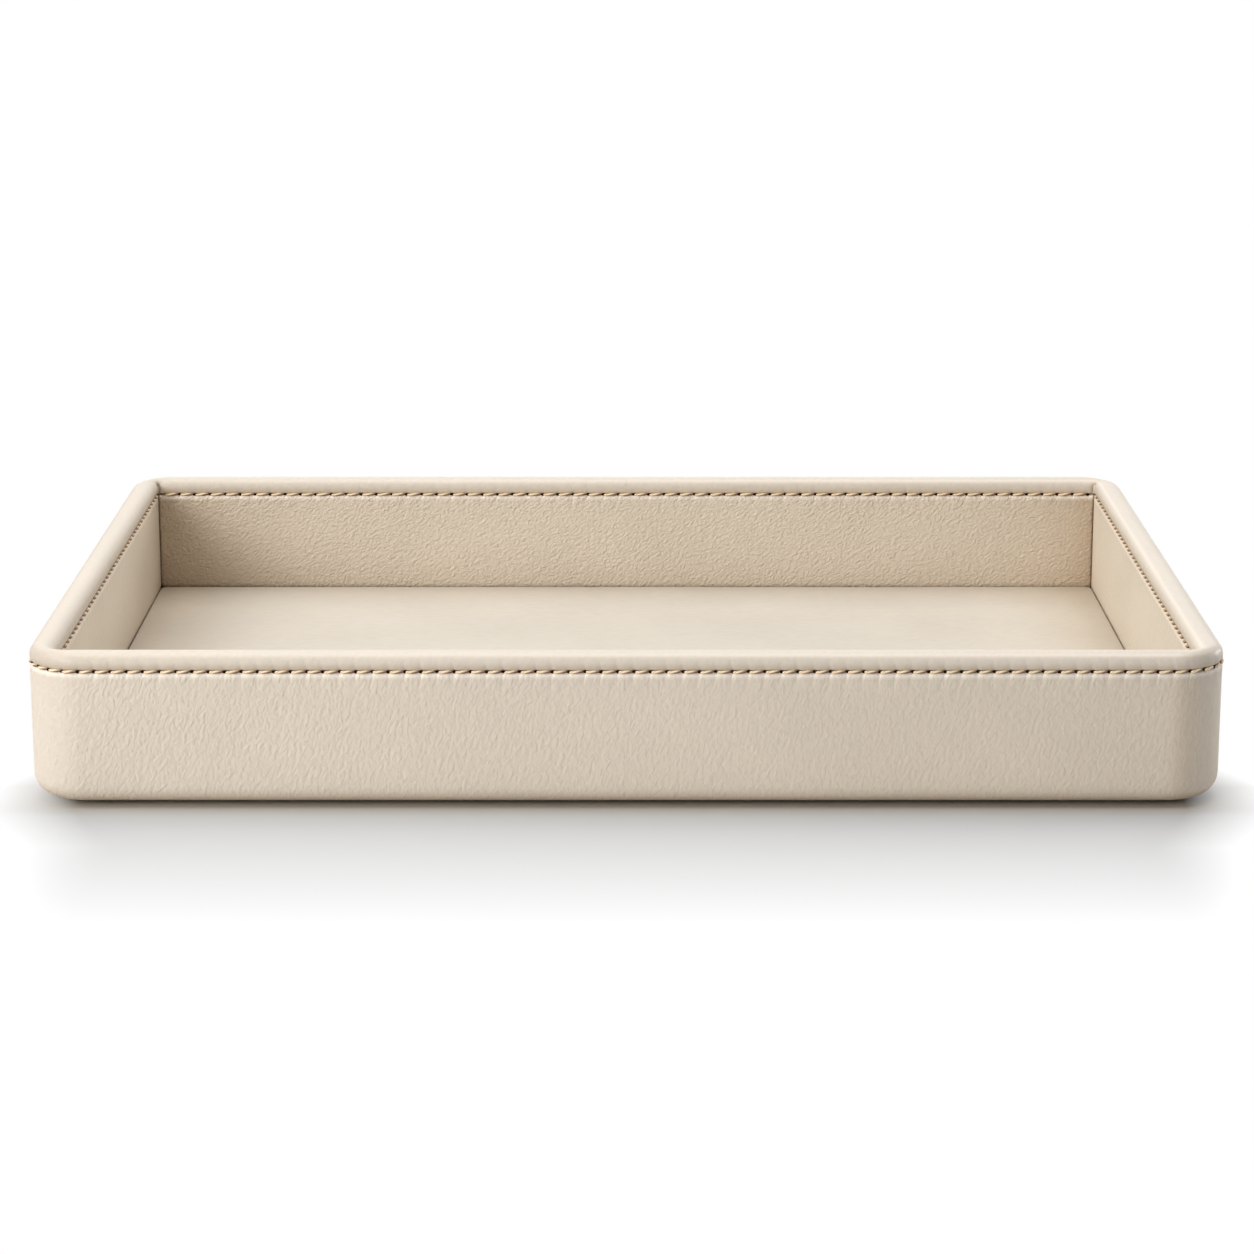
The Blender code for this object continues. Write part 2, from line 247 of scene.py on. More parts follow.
def ring(places, inset, radius, crowding=0.0):
    """The points of a ring at places along the seam, and the way the wall faces at each."""
    points, facing = np.zeros((len(places), 2)), np.zeros((len(places), 2))
    start = 0.0
    for kind, length, origin, way, out in runs:
        here = (places >= start) & (places <= start + length)
        step = places[here] - start
        if kind == "wall":
            points[here] = origin + np.outer(step, way) - inset * out
            facing[here] = out
        else:
            along, away, angle = corner_walk(step / length, inset, radius, crowding)
            points[here] = origin + np.outer(along, way) + np.outer(away, out)
            facing[here] = np.outer(np.sin(angle), way) + np.outer(np.cos(angle), out)
        start += length
    return points, facing


# %% [markdown]
# ## Stitches first
#
# A seam's stitches shape the leather round them, so their places are settled first. Outside there are 247.
# Inside, each wall has its own row, which stops a little short of the corners. Columns of the leather's mesh
# are tied to the stitches: eight to each, close together round the awl hole, where the pucker is.

# %% Places of the stitches
OUTER_STITCHES = 247
INNER_PITCH = 5.39 * MM
INNER_END = 2.2 * MM
COLUMN_SHARES = (0.0, 0.05, 0.11, 0.22, 0.50, 0.78, 0.89, 0.95)

outer_pitch = loop_length / OUTER_STITCHES
# Half the clear lengths of the long and the short walls.
long_clear, short_clear = half_length - thickness, half_width - thickness


def inner_row(clear):
    """How many stitches a row inside a wall has, and their pitch, from half its clear length."""
    length = 2 * clear - 2 * INNER_END
    count = round(length / INNER_PITCH)
    return count, length / count


def seam_columns(first, count, pitch):
    """Places of mesh columns along a row of stitches."""
    return np.array([first + (stitch + share) * pitch for stitch in range(count) for share in COLUMN_SHARES])


def with_ends(places, ends, length, clear):
    """The places that are clear of a strip's ends, and close ones at its ends."""
    middle = places[(places > clear) & (places < length - clear)]
    return np.concatenate((ends, middle, length - ends[::-1]))


print(f"Outer pitch {outer_pitch / MM:.2f} mm, inner rows", inner_row(long_clear), inner_row(short_clear))

# %% [markdown]
# ## Puckers
#
# Where the thread goes down through an awl hole it drags the leather with it, and between two holes the
# leather swells. Below the seam this dies out over about 3 mm, in creases that lean like the stitches. A
# fixed table of random numbers makes some stitches tighter, as by hand.

# %% Pucker function
PUCKER_DEPTH = 0.34 * MM
PUCKER_REACH = 3.2 * MM
PUCKER_LEAN = 0.15
CREASE = 0.45 * MM

tightness = np.random.default_rng(7).uniform(0.7, 1.3, 400)


def pucker(place, below, first, pitch):
    """How far the leather stands out by a seam, which is below zero at a hole."""
    phase = (place + PUCKER_LEAN * below - first) / pitch
    number = np.clip(np.round(phase).astype(int), 0, len(tightness) - 1)
    off = (phase - np.round(phase)) * pitch
    crease = -np.exp(-(off / CREASE) ** 2)
    swell = 0.35 * (1 - np.cos(2 * math.pi * phase)) / 2
    fade = np.exp(-(np.clip(below, 0, None) / PUCKER_REACH) ** 1.3)
    return PUCKER_DEPTH * tightness[number] * (crease + swell) * fade


def waves(x, y, size, depth):
    """Slow unevenness of glued leather, as a sum of a few fixed waves."""
    total = np.zeros_like(x)
    for number in range(6):
        angle = 2.4 * number
        length = size * (0.6 + 0.25 * number)
        total = total + np.sin((x * math.cos(angle) + y * math.sin(angle)) * 2 * math.pi / length + number)
    return depth * total / 6


# %% [markdown]
# ## From grids of points to meshes
#
# Every leather piece is a closed skin with an outer and an inner face, because real leather has a thickness
# and other programs expect a closed mesh. One builder sweeps a closed section along columns, for the strips
# that go round the tray. The other sews a front grid and a back grid together, for the panels. Each writes a
# UV map in metres, so that the grain has one scale everywhere.


# %% Mesh builders
def quads(grid):
    """The faces of a grid of point numbers."""
    return np.stack((grid[:-1, :-1], grid[:-1, 1:], grid[1:, 1:], grid[1:, :-1]), -1).reshape(-1, 4)


def marked_mesh(name, points, faces, marks, finish):
    """A smooth mesh object with three marks for its finish on each point."""
    mesh = bpy.data.meshes.new(name)
    mesh.from_pydata(points, [], faces)
    mesh.attributes.new("mark", "FLOAT_VECTOR", "POINT").data.foreach_set("vector", np.ravel(marks))
    mesh.shade_smooth()
    mesh.materials.append(finish)
    return bpy.data.objects.new(name, mesh)


def skin_mesh(name, grids, faces, uv, marks, finish):
    """A closed skin from one or two grids of points, which share their UVs and marks."""
    points, sides = np.concatenate(grids).reshape(-1, 3), (len(grids), 1)
    marks = np.stack([np.broadcast_to(mark, uv.shape[:2]) for mark in marks], -1).reshape(-1, 3)
    piece = marked_mesh(name, points.tolist(), faces, np.tile(marks, sides), finish)
    mesh = piece.data
    corners = np.empty(len(mesh.loops), int)
    mesh.loops.foreach_get("vertex_index", corners)
    uv = np.tile(uv.reshape(-1, 2), sides)[corners]
    mesh.uv_layers.new(name="leather").data.foreach_set("uv", uv.ravel())
    mesh.calc_loop_triangles()
    a, b, c = (points[[t.vertices[k] for t in mesh.loop_triangles]] for k in range(3))
    volume = np.einsum("ij,ij->i", a, np.cross(b, c)).sum() / 6
    if volume < 0:
        mesh.flip_normals()
    bpy.context.scene.collection.objects.link(piece)
    print(f"{name}: {len(mesh.loop_triangles)} triangles, {abs(volume) / MM ** 3 / 1000:.1f} cm3")
    return piece


def swept_skin(name, grid, uv, marks, finish):
    """A closed skin from a grid whose rows go round a closed section."""
    here = np.arange(grid[..., 0].size).reshape(grid.shape[:2])
    faces = quads(np.vstack((here, here[:1]))).tolist() + [here[:, 0].tolist(), here[::-1, -1].tolist()]
    return skin_mesh(name, [grid], faces, uv, marks, finish)


def two_sided(name, front, back, uv, marks, finish):
    """A closed panel between a front grid and a back grid of the same shape."""
    ahead = np.arange(front[..., 0].size).reshape(front.shape[:2])
    faces = [quads(ahead)[:, [0, 3, 2, 1]], quads(ahead + ahead.size)]
    for edge in (ahead[0, :], ahead[:, -1], ahead[-1, ::-1], ahead[::-1, 0]):
        faces.append(quads(np.stack((edge, edge + ahead.size))))
    return skin_mesh(name, [front, back], np.concatenate(faces).tolist(), uv, marks, finish)


# %% [markdown]
# ## Sections
#
# A section is drawn as on paper: inset to the right, height up. Arcs and lines are joined into one closed
# line, which starts in the seam, runs down the outside and comes back inside, one leather's thickness in.


# %% Section helpers
def arc(centre, radii, start, end, count):
    """Points on an arc of an ellipse, as insets and heights, between two angles in degrees."""
    angles = np.radians(np.linspace(start, end, count))
    return np.stack((centre[0] + radii[0] * np.cos(angles), centre[1] + radii[1] * np.sin(angles)), 1)


def line(start, end, count, crowding=1.0):
    """Points on a line without its first one. A crowding above 1 draws them towards the start."""
    shares = np.linspace(0, 1, count + 1)[1:] ** crowding
    return np.array(start) + np.outer(shares, np.array(end) - np.array(start))


def run_of(section):
    """How far each point of a section is along it from its first point."""
    steps = np.linalg.norm(np.diff(section, axis=0), axis=1)
    return np.concatenate(([0.0], np.cumsum(steps)))


def beside(points, value):
    """Points with one more column, which holds the same value everywhere."""
    return np.column_stack((points, np.full(len(points), value)))


def ease(low, high, value):
    """Goes smoothly from 0 at the low value to 1 at the high value."""
    share = np.clip((value - low) / (high - low), 0, 1)
    return share * share * (3 - 2 * share)


def bell(distance, width):
    """Goes smoothly from 1 at no distance to nearly 0 at twice a width."""
    return np.exp(-(distance / width) ** 2)


def rounded(distance, radius):
    """How far a rounded edge has fallen away at a distance from the edge."""
    short = np.clip(radius - distance, 0, radius)
    return radius - np.sqrt(radius ** 2 - short ** 2)


# %% [markdown]
# ## The outer band
#
# One strip of leather goes round the outside. Its upper edge turns into the seam in a small round lip, a thin
# line under the stitches that a painted highlight makes bright. Its lower edge rolls round the foot and is
# turned in under the base. It could be a lofted surface with a Solidify, but the puckers need a mesh as fine
# as this one anyway, so its section is swept directly.

# %% Lip
LIP_DEPTH = 1.15 * MM
LIP_WIDTH = 1.05 * MM
LIP_HEIGHT = 1.5 * MM

lip_top = seam_height - 0.12 * MM
lip_foot = lip_top - LIP_HEIGHT


def lip_and_face(low):
    """A section from its hidden edge in the seam, over the lip and straight down to a height."""
    lip = arc((LIP_WIDTH, lip_foot), (LIP_WIDTH, LIP_HEIGHT), 90, 180, 9)
    return np.concatenate(([(LIP_DEPTH, lip_top - 0.05 * MM)], lip, line((0, lip_foot), (0, low), 16, 1.8)))


def lip_highlight(run):
    """How much painted highlight the folded lip gets, at a distance along its section."""
    return 1 - np.clip((run - 1.5 * MM) / (1.2 * MM), 0, 1)


# %% Outer band
BUTT_GAP = 0.3 * MM
BUTT_ROUND = 0.45 * MM
# The painted shade at the foot, and the place and width of the painted shade near the right front corner.
FOOT_SHADE = 0.55
SHADED_CORNER_AT = half_length - 12.5 * MM
SHADED_CORNER_WIDTH = 4.2 * MM
BAND_WAVES = (70 * MM, 0.09 * MM)

foot_centre = (FOOT_RADIUS, band_low.z + FOOT_RADIUS)
turn_end = FOOT_RADIUS + TURN_IN
inner_foot = FOOT_RADIUS - leather
band_face = np.concatenate((
    lip_and_face(foot_centre[1]),
    arc(foot_centre, (FOOT_RADIUS, FOOT_RADIUS), 180, 270, 9)[1:],
    line((FOOT_RADIUS, band_low.z), (turn_end, band_low.z), 2),
))
band_section = np.concatenate((
    band_face,
    line((turn_end, band_low.z), (turn_end, band_low.z + leather), 1),
    arc(foot_centre, (inner_foot, inner_foot), 270, 180, 5),
    line((leather, foot_centre[1]), (leather, lip_foot), 3),
    line((leather, lip_foot), (LIP_DEPTH, lip_top - LIP_HEIGHT / 2), 1),
))


def strip_columns(gap, edge):
    """Columns of a strip round the tray, and how far its butted ends fall away."""
    ends = gap / 2 + edge * np.array((0.0, 0.12, 0.32, 0.6, 1.0))
    places = with_ends(seam_columns(0, OUTER_STITCHES, outer_pitch), ends, loop_length, ends[-1])
    return places, rounded(np.minimum(places, loop_length - places) - gap / 2, edge)


columns, fall = strip_columns(BUTT_GAP, BUTT_ROUND)
band_run = run_of(band_section)
band_grid, band_uv = [], []
for row, (inset, rise) in enumerate(band_section):
    points, facing = ring(columns, inset, CORNER_RADIUS - inset)
    if row < len(band_face):
        out = pucker(columns, band_run[row], 0, outer_pitch)
        out += waves(columns, rise, *BAND_WAVES) - fall
        points = points + facing * out[:, None]
    band_grid.append(beside(points, rise))
    band_uv.append(beside(columns, -band_run[row]))
# Painted highlight along the folded lip of the band, and of each lining too.
band_highlight = lip_highlight(band_run) * (np.arange(len(band_run)) < len(band_face))
# Painted shade: darker towards the bottom, where the foot turns under.
band_shade = FOOT_SHADE * (1 - ease(1.8 * MM, 6.5 * MM, band_section[:, 1:]))
# Painted shade: the front face is darker over its right half, and most of all near the right front corner.
face_points, facing = ring(columns, 0, CORNER_RADIUS)
right_half = ease(0, SHADED_CORNER_AT, face_points[:, 0]) - ease(SHADED_CORNER_AT, half_length, face_points[:, 0])
corner_shade = 0.22 * bell(face_points[:, 0] - SHADED_CORNER_AT, SHADED_CORNER_WIDTH) + 0.06 * right_half
band_shade = band_shade + corner_shade * (facing[:, 1] < 0) * (1 - band_shade)
outer_band = swept_skin("outer_band_leather", np.array(band_grid), np.array(band_uv),
                        (0, band_highlight[:, None], band_shade), band_hide)

# %% [markdown]
# ## The rim
#
# A second strip is rolled over a foam core, from the outer seam to the inner one. Its section is a
# superellipse, rounder than a box and fuller than an ellipse, tucked in at both seams. At the inner corners
# the foam has no room to bend: the two rolls meet in a crease that deepens towards the seam, while the
# outside goes round in one smooth curve. So the corner radius shrinks quickly towards the inside, and a pinch
# pulls the crease in.

# %% Rim section
ROLL_SHAPE = 2.25
ROLL_RISE = 3.7 * MM
ROLL_FALL = 2.5 * MM

roll_half = thickness / 2
roll_centre = height - 0.12 * MM - ROLL_RISE
tuck_height = seam_height + 0.36 * MM
tuck_low = tuck_height - 0.1 * MM


def roll_points(skin, count):
    """The roll's section, a skin's thickness in, from the outer tuck to the inner one."""
    start = -math.asin(((roll_centre - tuck_height) / ROLL_FALL) ** (ROLL_SHAPE / 2))
    angles = np.linspace(start, math.pi - start, count)
    across, up = (np.sign(v) * np.abs(v) ** (2 / ROLL_SHAPE) for v in (np.cos(angles), np.sin(angles)))
    rise = np.where(up > 0, ROLL_RISE - skin, ROLL_FALL - skin)
    return np.stack((roll_half - (roll_half - skin) * across, roll_centre + rise * up), 1)


roll_face = np.concatenate((
    [(LIP_DEPTH, tuck_low)],
    roll_points(0, 30),
    [(thickness - LIP_DEPTH, tuck_low)],
))
rim_section = np.concatenate((roll_face, roll_points(leather, 9)[::-1]))
print(f"The rim rolls over {run_of(roll_face)[-1] / MM:.1f} mm of leather")

# %% Rim corners
CLEFT_DEPTH = 1.1 * MM
CLEFT_WIDTH = 0.65 * MM
INNER_RADIUS = 0.25 * MM
CORNER_FALL = 0.85


def pinch(points, inset):
    """How far the crease at an inner corner is pulled in, less the swell beside it."""
    reach = np.array((long_clear, short_clear)) + thickness - inset
    away = np.hypot(*np.clip(reach - np.abs(points), 0, None).T)
    inside = ease(0.76, 0.95, inset / thickness)
    return CLEFT_DEPTH * inside * (bell(away, CLEFT_WIDTH) - 0.2 * bell(away - 2.6 * MM, 1.5 * MM))


def inner_place(points, facing):
    """The place of each point along its own wall's row of stitches, and that row's pitch."""
    along_long = np.abs(facing[:, 1]) > np.abs(facing[:, 0])
    place = np.where(along_long, points[:, 0] + long_clear, points[:, 1] + short_clear)
    return place, np.where(along_long, inner_row(long_clear)[1], inner_row(short_clear)[1])


# %% Rim
# The place and width of the painted highlight on the roll's shoulders.
SHOULDER_INSET = 1.5 * MM
SHOULDER_WIDTH = 0.45 * MM
LEFT_SHADE_REACH = 36 * MM
RIM_WAVES = (45 * MM, 0.05 * MM)

rim_run = run_of(rim_section)
columns, fall = strip_columns(0.03 * MM, 0.08 * MM)
rim_grid, rim_uv = [], []
for row, (inset, rise) in enumerate(rim_section):
    share = np.clip(1 - inset / thickness, 0, 1)
    radius = max(CORNER_RADIUS * share ** CORNER_FALL, INNER_RADIUS)
    points, facing = ring(columns, inset, radius, 0.7 * ease(0.5, 0.9, inset / thickness))
    outside = inset < roll_half
    place, pitch = (columns, outer_pitch) if outside else inner_place(points, facing)
    out = np.zeros(len(columns))
    if row < len(roll_face):
        puckers = 0.6 * pucker(place, 1.3 * (rise - tuck_height), 0 if outside else INNER_END, pitch)
        out = puckers + waves(columns, rim_run[row], *RIM_WAVES) - fall
    if not outside:
        out = pinch(points, inset) - out
    rim_grid.append(beside(points + facing * out[:, None], rise))
    rim_uv.append(beside(columns, rim_run[row]))
rim_grid = np.array(rim_grid)
rim_x = rim_grid[..., 0]
rim_inset, rim_rise = rim_section.T[..., None]
# Painted highlight: a paler line along each shoulder of the roll, stronger towards the right end.
from_shoulder = np.minimum(rim_inset, thickness - rim_inset) - SHOULDER_INSET
rim_highlight = bell(from_shoulder, SHOULDER_WIDTH) * (rim_rise > roll_centre)
rim_highlight = rim_highlight * (0.18 + 0.18 * rim_x / half_length)
# Painted shade at the left end of the roll, on its flanks more than on its top.
left_end_shade = np.exp(-(rim_x + half_length) / LEFT_SHADE_REACH)
flank_shade = 0.06 + 0.21 * (1 - ease(0.4 * MM, 2.8 * MM, rim_inset))
flank_shade += 0.16 * ease(5.2 * MM, 7.6 * MM, rim_inset)
# Painted shade in the tucks above both seams, deeper on the outside.
rim_shade = np.where(rim_inset < roll_half, 0.38, 0.10)
rim_shade = rim_shade * (1 - ease(0.5 * MM, 2.5 * MM, rim_rise - tuck_height))
rim_shade = rim_shade + (1 - rim_shade) * flank_shade * left_end_shade
rim = swept_skin("rim_leather", rim_grid, np.array(rim_uv), (0, rim_highlight, rim_shade), rim_hide)

# %% [markdown]
# ## The linings
#
# Each wall has a leather lining of its own. The long ones run from wall to wall, and the short ones fit
# between them, so only the short ones show their upright edges, which are rounded. Like the band, a lining
# turns into the seam in a lip and puckers under the stitches. Its panel is measured along the wall and down
# from the lip, and each point is set against the wall from there.

# %% Lining panels
LINING_CORNER = 1.3 * MM
JOINT_DEPTH = 0.35 * MM
JOINT_WIDTH = 0.28 * MM
LINING_WAVES = (55 * MM, 0.08 * MM)
PANEL_ENDS = np.array((0.0, 0.07, 0.2, 0.38, 0.58, 0.76, 0.94, 1.15, 1.4, 1.8)) * MM
PANEL_CLEAR = 2.2 * MM
X_AXIS, Y_AXIS = np.array((1.0, 0.0)), np.array((0.0, 1.0))

lining_bottom = lining_low.z


def nook_shade(nooks, distances):
    """The painted shade near nooks. A nook has an amount, a reach and how suddenly it ends."""
    untoned = 1.0
    for (amount, reach, power), distance in zip(nooks, distances):
        untoned = untoned * (1 - amount * np.exp(-(np.clip(distance, 0, None) / reach) ** power))
    return 1 - untoned


def lining(name, half, clear, wall, way, end_round, nooks, finish):
    """A lining on a wall, whose way runs to the right as seen from inside the tray."""
    count, pitch = inner_row(clear)
    overlap = half - clear
    into = -turned_left(way)
    places = with_ends(overlap + seam_columns(INNER_END, count, pitch), PANEL_ENDS, 2 * half, PANEL_CLEAR)
    profile = lip_and_face(lining_bottom)
    down = run_of(profile)
    end = np.minimum(places, 2 * half - places)
    joint = bell(end - overlap, JOINT_WIDTH) * (overlap > 0)
    brown = 0.8 * joint if overlap > 0 else 1 - ease(0.08 * MM, 0.32 * MM, end)
    front, back, uv = [], [], []
    for (inset, rise), run in zip(profile, down):
        stand = pucker(places - overlap, run, INNER_END, pitch) + waves(places, run, *LINING_WAVES)
        stand = stand - rounded(end, end_round) - inset - JOINT_DEPTH * joint
        share = (rise - lining_bottom) / (lip_top - lining_bottom)
        low = rise - rounded(end, LINING_CORNER) * (share > 0.5) * share ** 12
        hidden = np.minimum(stand, 0) - leather
        for rows, out, drop in ((front, stand, 0), (back, hidden, 0.3 * MM * (run == 0))):
            across = np.outer(places - half, way) + np.outer(out, into) - wall * into
            rows.append(np.column_stack((across, low - drop)))
        uv.append(beside(places, -run))
    # Painted shade, darker towards the corners and the floor.
    painted_shade = nook_shade(nooks, (places, 2 * half - places, profile[:, 1:] - lining_bottom))
    return two_sided(name, np.array(front), np.array(back), np.array(uv),
                     (brown, lip_highlight(down)[:, None], painted_shade), finish)


# %% Linings
LONG_ROUND, SHORT_ROUND = 0.2 * MM, 0.32 * MM
# Painted shade in the nooks of a long lining, at the left and right walls and the floor, and of a short one.
LEFT_NOOK, RIGHT_NOOK, LOW_NOOK = (0.60, 35 * MM, 1), (0.76, 15 * MM, 1), (0.45, 10 * MM, 1)
NO_NOOK, SIDE_NOOK = (0.0, 1 * MM, 1), (0.25, 8 * MM, 1)

# For each kind of wall: its lining's half length, half its clear length, and its place.
long_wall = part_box("back_lining")[1].x, long_clear, short_clear
short_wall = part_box("left_lining")[1].y, short_clear, long_clear
back_nooks, front_nooks = (LEFT_NOOK, RIGHT_NOOK, LOW_NOOK), (RIGHT_NOOK, LEFT_NOOK, LOW_NOOK)
short_sides = SHORT_ROUND, (NO_NOOK, NO_NOOK, SIDE_NOOK), side_hide
back_lining = lining("back_lining_leather", *long_wall, X_AXIS, LONG_ROUND, back_nooks, lining_hide)
front_lining = lining("front_lining_leather", *long_wall, -X_AXIS, LONG_ROUND, front_nooks, lining_hide)
left_lining = lining("left_lining_leather", *short_wall, Y_AXIS, *short_sides)
right_lining = lining("right_lining_leather", *short_wall, -Y_AXIS, *short_sides)

# %% [markdown]
# ## The floor
#
# The floor is a card with leather wrapped over it, dropped in last, so its edges are soft and there is a
# dark line all round it. A grid gets rounded corners by squeezing each corner square into a quarter disc. Its
# edge then rolls down as a quarter circle, and the whole is a skin again.


# %% Grids with rounded corners and edges
def lines_across(half, corner, edge, step):
    """Grid lines across a sheet, close together at its edges."""
    rolled = edge * (1 - np.cos(np.radians(np.linspace(0, 90, 7))))
    turned = edge + (corner - edge) * np.array((0.35, 0.7, 1.0))
    count = round(2 * (half - corner) / step)
    middle = np.linspace(corner - half, half - corner, count + 1)[1:-1]
    margin = np.concatenate((rolled, turned))
    return np.concatenate((margin - half, middle, (half - margin)[::-1]))


def sheet_face(half, face, corner, edge, step, inset=0.0):
    """The face of a sheet, with its edge rolled down. An inset gives the skin's inner side."""
    flat = np.stack(np.meshgrid(*(lines_across(side, corner, edge, step) for side in half)), -1)
    drop = rounded((half - np.abs(flat)).min(-1), edge) * (edge - min(inset, edge / 2)) / edge
    small = half - inset
    flat = flat * small / half
    over = np.clip((np.abs(flat) - (small - corner)) / corner, 0, 1)
    turned = small - corner + corner * over * np.sqrt(1 - over[..., ::-1] ** 2 / 2)
    flat = np.sign(flat) * np.where(over > 0, turned, np.abs(flat))
    return np.dstack((flat, face - inset - drop))


def with_skirt(grid, low):
    """Adds a border of points straight below the grid's own, down to a height."""
    grid = np.pad(grid, ((1, 1), (1, 1), (0, 0)), "edge")
    grid[[0, -1], :, 2] = grid[:, [0, -1], 2] = low
    return grid


# %% Floor
FLOOR_ROUND = 0.42 * MM
FLOOR_CORNER = 3.0 * MM
FLOOR_STEP = 3.0 * MM
FLOOR_WAVES = 0.07 * MM

# The leather is thick round the card's edges, so the floor sits closer to the side walls.
floor_half = np.array((floor_high.x + 0.12 * MM, floor_high.y))
floor_face = floor_high.z - FLOOR_WAVES / 2
skins = []
for inset in (0, leather):
    face = sheet_face(floor_half, floor_face, FLOOR_CORNER, FLOOR_ROUND, FLOOR_STEP, inset)
    face[..., 2] += waves(face[..., 0], face[..., 1], 80 * MM, FLOOR_WAVES)
    skins.append(with_skirt(face, floor_low.z))
x, y, z = np.moveaxis(skins[0], -1, 0)
brown = ease(0.45 * FLOOR_ROUND, FLOOR_ROUND, floor_face - z)
# Painted shade, darker near the walls and most at the left and right ends.
floor_nooks = ((0.50, 24 * MM, 2), (0.50, 22 * MM, 2), (0.28, 20 * MM, 1))
shade_tone = nook_shade(floor_nooks, (floor_half[0] + x, floor_half[0] - x, floor_half[1] - np.abs(y)))
floor = two_sided("floor_leather_cover", *skins, skins[0][..., :2], (brown, 0, shade_tone), floor_hide)

# %% [markdown]
# ## The underside
#
# A sheet of microfibre suede hides the turned-in leather and spares the table. It is made by the same
# function as the floor, then turned over, so that its rolled edge is at the bottom.


# %% Suede finish
def speckled(name, base, fleck, size, roughness, depth, stretch=(1, 1, 1)):
    """A dull stock with specks or fibres of one real size, on object coordinates."""
    finish, add, shader = new_finish(name, base, roughness)
    place = add("TexCoord").node.outputs["Object"]
    scaled = add("Mapping", {"Vector": place, "Scale": [1 / (size * share) for share in stretch]})
    noise = add("TexNoise", {"Vector": scaled, "Scale": 1.0, "Detail": 4.0, "Roughness": 0.6})
    share = add("MapRange", (noise, 0.40, 0.66))
    blend = add("Mix", {0: share, 6: base, 7: fleck}, data_type="RGBA")
    bump = add("Bump", {"Height": noise, "Distance": depth})
    feed(shader, {"Base Color": blend, "Normal": bump})
    return finish


# Brushed microfibre, matt, with a nap that lies in patches.
suede = speckled("brushed_microfibre_suede", "#8A7762", "#9C8972", 1.6 * MM, 0.95, 0.05 * MM)
feed(suede.node_tree.nodes["Principled BSDF"], {"Sheen Weight": 0.25})

# %% Base lining
SUEDE_ROUND = 0.35 * MM
SUEDE_CORNER = 9.0 * MM
SUEDE_STEP = 6 * MM

suede_low, suede_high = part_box("base_lining")
under = sheet_face(np.array(suede_high.xy), suede_high.z - suede_low.z, SUEDE_CORNER, SUEDE_ROUND, SUEDE_STEP)
over = under.copy()
under[..., 2], over[..., 2] = suede_high.z - under[..., 2], suede_high.z
base_suede = two_sided("base_suede_lining", under, over, under[..., :2], (0, 0, 0), suede)

# %% [markdown]
# ## One stitch and one awl hole
#
# A stitch is a short length of thread that comes up at one hole, lies on the leather and dives into the next.
# So it is fat in the middle and thin at its ends, and its right end lies deeper and a little higher, as in
# all saddle stitching. On the short walls the stitches lean less. One is made along X, with Z pointing out of
# the wall, and repeated later. Each point keeps its angle round the thread and its place along it as marks,
# from which the finish draws the twist. The awl hole is a small cup.

# %% Stitch and hole
STITCH_RINGS = 9
STITCH_SIDES = 8
HOLE_SIDES = 10
# The rings of the hole's cup, as radius and depth in millimetres.
CUP = ((0.12, -0.36), (0.32, -0.24), (0.46, -0.04), (0.55, 0.02), (0.61, -0.14), (0.36, -0.5))


def tube(name, points, marks, sides, heading, finish):
    """A mesh of rings of points with closed ends. A heading of -1 turns its faces round."""
    points, marks = (np.stack(np.broadcast_arrays(*rows), -1).reshape(-1, 3) for rows in (points, marks))
    here = np.arange(len(points)).reshape(-1, sides)
    faces = quads(np.hstack((here, here[:, :1]))).tolist() + [here[0, ::-1].tolist(), here[-1].tolist()]
    return marked_mesh(name, points.tolist(), [face[::heading] for face in faces], marks, finish)


def stitch_shape(name, length, heading=1, lean=1.0):
    """One stitch along X, with its outside towards +Z. A heading of -1 mirrors it."""
    share = np.linspace(-1, 1, STITCH_RINGS)[:, None]
    angle = np.linspace(0, 2 * math.pi, STITCH_SIDES, endpoint=False)
    up_end, down_end = np.maximum(-share, 0), np.maximum(share, 0)
    radius = THREAD / 2 * (1 - 0.35 * up_end ** 6 - 0.62 * down_end ** 2.6)
    climb = lean * (0.15 * share - 0.03 * share ** 2 - 0.05 * up_end ** 4) * MM
    rise = (0.12 - 0.20 * up_end ** 6 - 0.80 * down_end ** 2.6) * MM
    across, out = np.cos(angle), np.sin(angle)
    points = (heading * share * length / 2, climb + radius * across, rise + radius * out)
    return tube(name, points, (lean * across, lean * out, share), STITCH_SIDES, heading, thread_tan)


def hole_shape(name, offset):
    """An awl hole at an offset along X: a bead of shade whose front is pressed in."""
    radius, depth = np.array(CUP).T[..., None]
    angle = np.linspace(0, 2 * math.pi, HOLE_SIDES, endpoint=False)
    across, up = radius * np.cos(angle), radius * np.sin(angle)
    points = (offset + 1.1 * across * MM, 0.74 * up * MM, depth * MM)
    return tube(name, points, (across, up, radius), HOLE_SIDES, -1, hole_dark)


# %% [markdown]
# ## Thread and hole finishes
#
# The thread is waxed linen in two plies. It is pale tan on top, and brown along its lower side and where it
# goes down: that is painted shade, under the thread and where it dives into the hole, together with the dye
# that the wax picks up from the cut edge of the hole. The grooves between the plies follow from the angle and
# the place along the stitch, so the finish turns both into one wave. An awl hole is nearly black, with a
# brown edge, because hardly any light finds its way out of it.

# %% Thread and hole finishes
THREAD_TURNS = 0.9
THREAD_PLIES = 2.0

thread_tan, add, shader = new_finish("waxed_linen_thread", "#F8E1BF", 0.42)
across, out, along = mark_parts(add)
angle = add("Math", (out, across), "ARCTAN2")
turned = add("Math", (along, 2 * math.pi * THREAD_TURNS), "MULTIPLY")
phase = add("Math", (angle, THREAD_PLIES, turned), "MULTIPLY_ADD")
wave = add("Math", [phase], "SINE")
grooved = add("MapRange", (wave, -0.3, -1.0))
